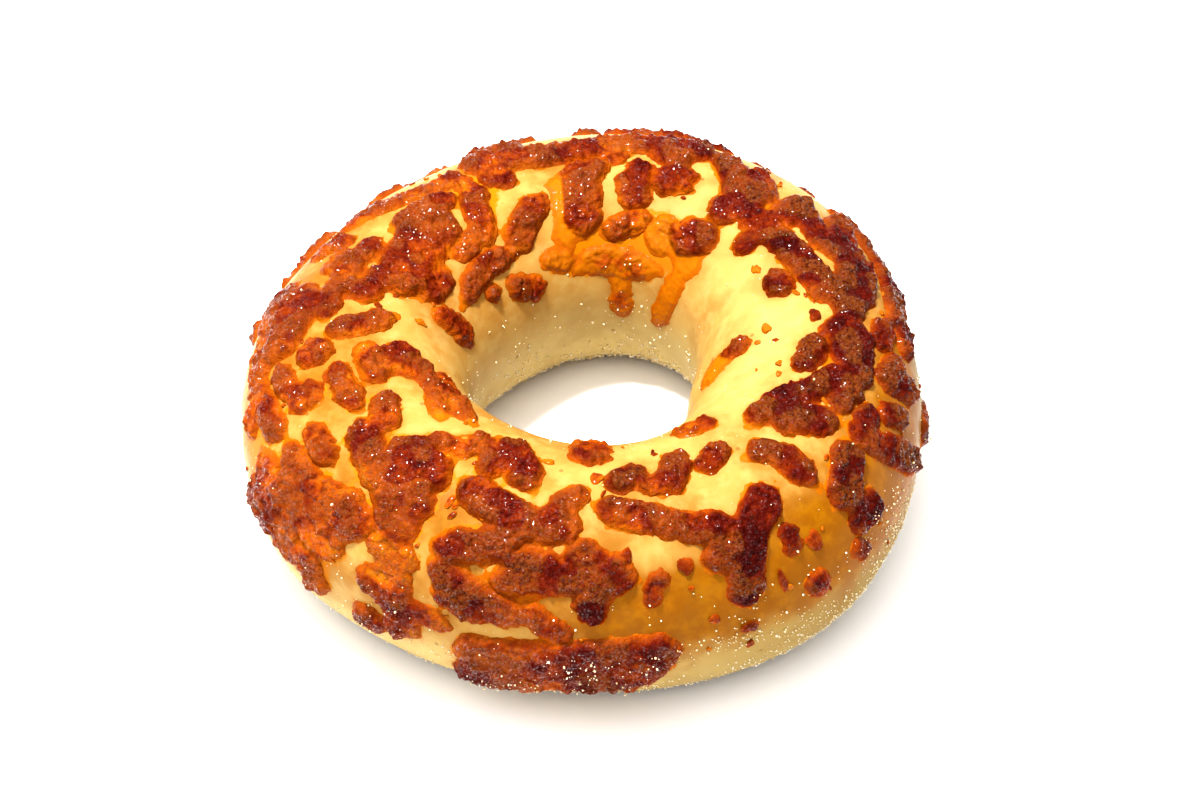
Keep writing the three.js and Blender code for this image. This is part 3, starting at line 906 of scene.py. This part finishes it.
def ball_skin(around, rings):
    """Triangles over a ball's points, and each corner's place on a flat map: its step round
    and its step down. Each square between two rings is cut in two, and each pole is a fan."""
    i, k = (n.ravel() for n in np.indices((around, rings - 1)))
    r = np.arange(around)
    top, low = np.full(around, -1), np.full(around, rings)
    first, last = np.zeros(around, int), np.full(around, rings - 1)
    u = np.concatenate([
        np.stack([i, i, i + 1], -1), np.stack([i, i + 1, i + 1], -1),
        np.stack([r + 0.5, r, r + 1], -1), np.stack([r + 0.5, r + 1, r], -1),
    ])
    v = np.concatenate([
        np.stack([k, k + 1, k + 1], -1), np.stack([k, k + 1, k], -1),
        np.stack([top, first, first], -1), np.stack([low, last, last], -1),
    ])
    on_ring = (u.astype(int) % around) * rings + v
    number = np.where(v < 0, around * rings, np.where(v == rings, around * rings + 1, on_ring))
    return number, np.stack([u / around, (v + 1) / (rings + 1)], -1)


# How far the ball's flat map stays inside its cell, and how much of the cell it fills.
CELL_MARGIN = 0.04
CELL_FILL = 0.92


def many_small(name, shapes, around, rings, marks=()):
    """One piece of many small balls, each already given its shape and place: the triangles are
    numbered on from one to the next, and each ball has a cell of the flat map to itself."""
    count, each = shapes.shape[:2]
    number, places = ball_skin(around, rings)
    faces = (number[None] + each * np.arange(count)[:, None, None]).reshape(-1, 3)
    cells = math.ceil(math.sqrt(count))
    cell = np.stack([np.arange(count) % cells, np.arange(count) // cells], -1)
    flat_map = (cell[:, None, None] + CELL_MARGIN + CELL_FILL * places[None]) / cells
    marks = {mark: values.reshape(-1) for mark, values in dict(marks).items()}
    return mesh_piece(name, shapes.reshape(-1, 3), faces, marks, flat_map.reshape(-1, 3, 2))


NUDGE = 0.2


def settled(turn, roll, lie, local, lift):
    """Small shapes set on the crust at single spots: each is turned so that its own up points
    outwards and its length lies at an angle to the turn, and lifted by its own amount. The
    outward direction at a spot is found from its neighbours, a nudge away in turn and roll."""
    nudge = np.array([0.0, NUDGE])
    points, outward = crust(turn[:, None, None] + nudge[:, None], roll[:, None, None] + nudge)
    spot, outward, along = points[:, 0, 0], outward[:, 0, 0], points[:, 1, 0] - points[:, 0, 0]
    along = along / np.linalg.norm(along, axis=-1, keepdims=True)
    lie = np.radians(lie)[:, None]
    ahead = np.cos(lie) * along + np.sin(lie) * np.cross(outward, along)
    axes = np.stack([ahead, np.cross(outward, ahead), outward], 1)
    return (spot + lift[:, None] * outward)[:, None] + np.einsum("kpi,kij->kpj", local, axes)


APART = 9.7
LUMP_SCALE = 1.3


def lumpy_balls(count, around, rings, amount, seed):
    """Balls that are each made lumpy in their own way: a share is added to the radius by
    waviness, read far enough apart for each ball to be unlike the last."""
    plain = ball(around, rings)
    own_place = APART * np.arange(count)[:, None, None]
    return plain * (1 + amount * waviness(plain * LUMP_SCALE + own_place, 1, seed))[..., None]


dice = np.random.default_rng(11)
strays = np.stack([dice.uniform(low, high, STRAY_CRUMBS) for low, high in STRAY_RANGES], -1)
turn, roll, length, width, lie, toast = np.concatenate([PLACED_CRUMBS, strays]).T
crumb_height = LEAST_CRUMB_HEIGHT + CRUMB_HEIGHT_BY_WIDTH * width
size = np.stack([length / 2, width / 2, crumb_height], -1)
local = lumpy_balls(len(turn), CRUMB_AROUND, CRUMB_RINGS, CRUMB_LUMPINESS, 41) * size[:, None]
crumb_rise = local[..., 2] / size[:, None, 2]
above = np.clip(crumb_rise, 0, 1)
all_over = np.ones_like(crumb_rise)
toasted = toast[:, None] * all_over
crumbs = many_small(
    "cheese_crumbs",
    settled(turn, roll, lie, local, np.full(len(turn), CRUMB_LIFT)),
    CRUMB_AROUND,
    CRUMB_RINGS,
    marks={
        "thickness": np.clip(crumb_rise * (0.3 + 0.7 * toasted), 0, 1),
        "inward": above,
        "crease_shade": 0 * all_over,
        "blister": 0.3 * above,
        "shade": 0.5 * toasted,
        "toasted": toasted,
        "thin": 0.5 * (0.8 - toasted),
    },
)
crumbs.data.materials.append(cheese)
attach(crumbs, "root")

# ---------------------------------------------------------------- cornmeal
# Coarse grains off the tray that the ring was baked on. They stick thickest low on the outer
# side and round the bottom of the hole, and a few ended up on the top and on the cheese.

GRAIN_AROUND = 5
GRAIN_RINGS = 2
GRAIN_LUMPINESS = 0.35
GRAIN_TRIES = 45000
GRAIN_ROLLS = (-54, 234)
# The rolls where grains start and where they are thickest, how thick they are all the way
# round, and the patches with more.
LOW_OUTSIDE = (32, -18)
EVEN_OUTSIDE = 0.25
MORE_OUTSIDE = [(1.5, 322, -12, 50, 40)]
LOW_IN_HOLE = (160, 200)
EVEN_IN_HOLE = 0.35
MORE_IN_HOLE = [(0.5, 75, 200, 60, 60)]
BOTTOM_RIM = [(1.0, 60, 230, 60, 11)]
# The chance that a grain sticks anywhere, and what each of those places adds to it.
CHANCE_ANYWHERE = 0.018
CHANCE_OUTSIDE = 0.75
CHANCE_IN_HOLE = 0.32
CHANCE_ON_RIM = 0.8
# How wide bunches of grains are, in turn and roll.
BUNCH_TURN = 9
BUNCH_ROLL = 14
# The least width of a grain and how much wider the widest is, in mm.
LEAST_GRAIN = 0.18
GRAIN_RANGE = 0.3
MOSTLY_SMALL = 2.5
LARGER_ON_RIM = 0.9
CHEESE_ALLOWANCE = 1.05

turn = dice.uniform(0, 360, GRAIN_TRIES)
roll = dice.uniform(*GRAIN_ROLLS, GRAIN_TRIES)
outside = rising(roll, *LOW_OUTSIDE) * (EVEN_OUTSIDE + patches(turn, roll, MORE_OUTSIDE))
in_hole = rising(roll, *LOW_IN_HOLE) * (EVEN_IN_HOLE + patches(turn, roll, MORE_IN_HOLE))
on_rim = patches(turn, roll, BOTTOM_RIM)
chance = CHANCE_ANYWHERE + CHANCE_OUTSIDE * outside
chance = chance + CHANCE_IN_HOLE * in_hole + CHANCE_ON_RIM * on_rim
bunched = waviness(np.stack([turn / BUNCH_TURN, roll / BUNCH_ROLL, 0 * turn], -1), 1, 51)
chance = chance * np.clip(0.6 + 1.2 * bunched, 0.15, 1.6)
stuck = dice.uniform(0, 1, GRAIN_TRIES) < chance
turn, roll, on_rim = turn[stuck], roll[stuck], on_rim[stuck]
across = LEAST_GRAIN + GRAIN_RANGE * dice.uniform(0, 1, len(turn)) ** MOSTLY_SMALL
across = across * (1 + LARGER_ON_RIM * on_rim)
size = across[:, None] * dice.uniform(0.7, 1.2, (len(turn), 3)) / 2
local = lumpy_balls(len(turn), GRAIN_AROUND, GRAIN_RINGS, GRAIN_LUMPINESS, 61) * size[:, None]
nearest = (
    np.rint(turn / 360 * BREAD_TURNS).astype(int),
    np.rint((roll + 90) / 360 * BREAD_ROLLS).astype(int),
)
lift = np.nan_to_num(cheese_cover[nearest]) * CHEESE_ALLOWANCE + size[:, 2] / 2
grains = many_small(
    "cornmeal_grains",
    settled(turn, roll, dice.uniform(0, 180, len(turn)), local, lift),
    GRAIN_AROUND,
    GRAIN_RINGS,
)
meal, tree, shader, where = new_finish(
    "cornmeal",
    Roughness=0.55,
    Specular_IOR_Level=0.4,
    Subsurface_Weight=0.2,
    Subsurface_Radius=(1.0, 0.8, 0.4),
    Subsurface_Scale=0.5 * MM,
)
tone = ramped(tree, speckle(tree, where, 1.5, 2.0), 0.35, 0.65)
colour = blended(tree, tone, paint(205, 181, 132), paint(223, 212, 185))
tree.links.new(colour, shader.inputs["Base Color"])
grains.data.materials.append(meal)
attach(grains, "root")

# ---------------------------------------------------------------- floor, light and air
# A pale sweep of paper, one small lamp high on the left, and air that glows brightest overhead
# and on the left. Seen by the camera itself, the air is plain white.

ZENITH_GLOW = 2.6
HORIZON_GLOW = 0.4
LEFT_SHARE = 0.5
FLOOR_REACH = 3
PAPER_WHITE = (0.9, 0.9, 0.9, 1)
LAMP_SIZE = 0.12
LAMP_POWER = 21
LAMP_PLACE = Vector((-0.2, 0.02, 1.0))
LAMP_AIMED_AT = Vector((0, 0, 0.02))

floor_mesh = bpy.data.meshes.new("floor")
corner_sides = [(-1, -1), (1, -1), (1, 1), (-1, 1)]
floor_corners = [(x * FLOOR_REACH, y * FLOOR_REACH, 0) for x, y in corner_sides]
floor_mesh.from_pydata(floor_corners, [], [(0, 1, 2, 3)])
floor = bpy.data.objects.new("floor", floor_mesh)
bpy.context.scene.collection.objects.link(floor)
paper, tree, shader, where = new_finish(
    "pale_paper", Roughness=0.9, Specular_IOR_Level=0.1, Base_Color=PAPER_WHITE
)
floor.data.materials.append(paper)

lamp = bpy.data.objects.new("lamp", bpy.data.lights.new("lamp", "AREA"))
lamp.data.size = LAMP_SIZE
lamp.data.energy = LAMP_POWER
lamp.location = LAMP_PLACE
lamp.rotation_euler = (LAMP_PLACE - LAMP_AIMED_AT).to_track_quat("Z", "Y").to_euler()
bpy.context.scene.collection.objects.link(lamp)

air = bpy.data.worlds.new("air")
air.use_nodes = True
tree = air.node_tree
away = tree.nodes.new("ShaderNodeTexCoord").outputs["Generated"]
upward = add_node(tree, "ShaderNodeSeparateXYZ", {0: away})
overhead = worked_out(tree, "POWER", worked_out(tree, "MAXIMUM", upward.outputs["Z"], 0.0), 2.0)
from_left = summed(tree, scaled(tree, upward.outputs["X"], -LEFT_SHARE), 1.0)
glow = summed(tree, scaled(tree, overhead, ZENITH_GLOW), HORIZON_GLOW)
seen = tree.nodes.new("ShaderNodeLightPath").outputs["Is Camera Ray"]
glow = add_node(tree, "ShaderNodeMix", {0: seen, 2: scaled(tree, glow, from_left), 3: 1.0}).outputs[0]
tree.links.new(glow, tree.nodes["Background"].inputs["Strength"])
tree.nodes["Background"].inputs["Color"].default_value = (1, 1, 1, 1)
bpy.context.scene.world = air
bpy.context.scene.view_settings.view_transform = "Standard"
bpy.context.scene.view_settings.look = "Medium High Contrast"
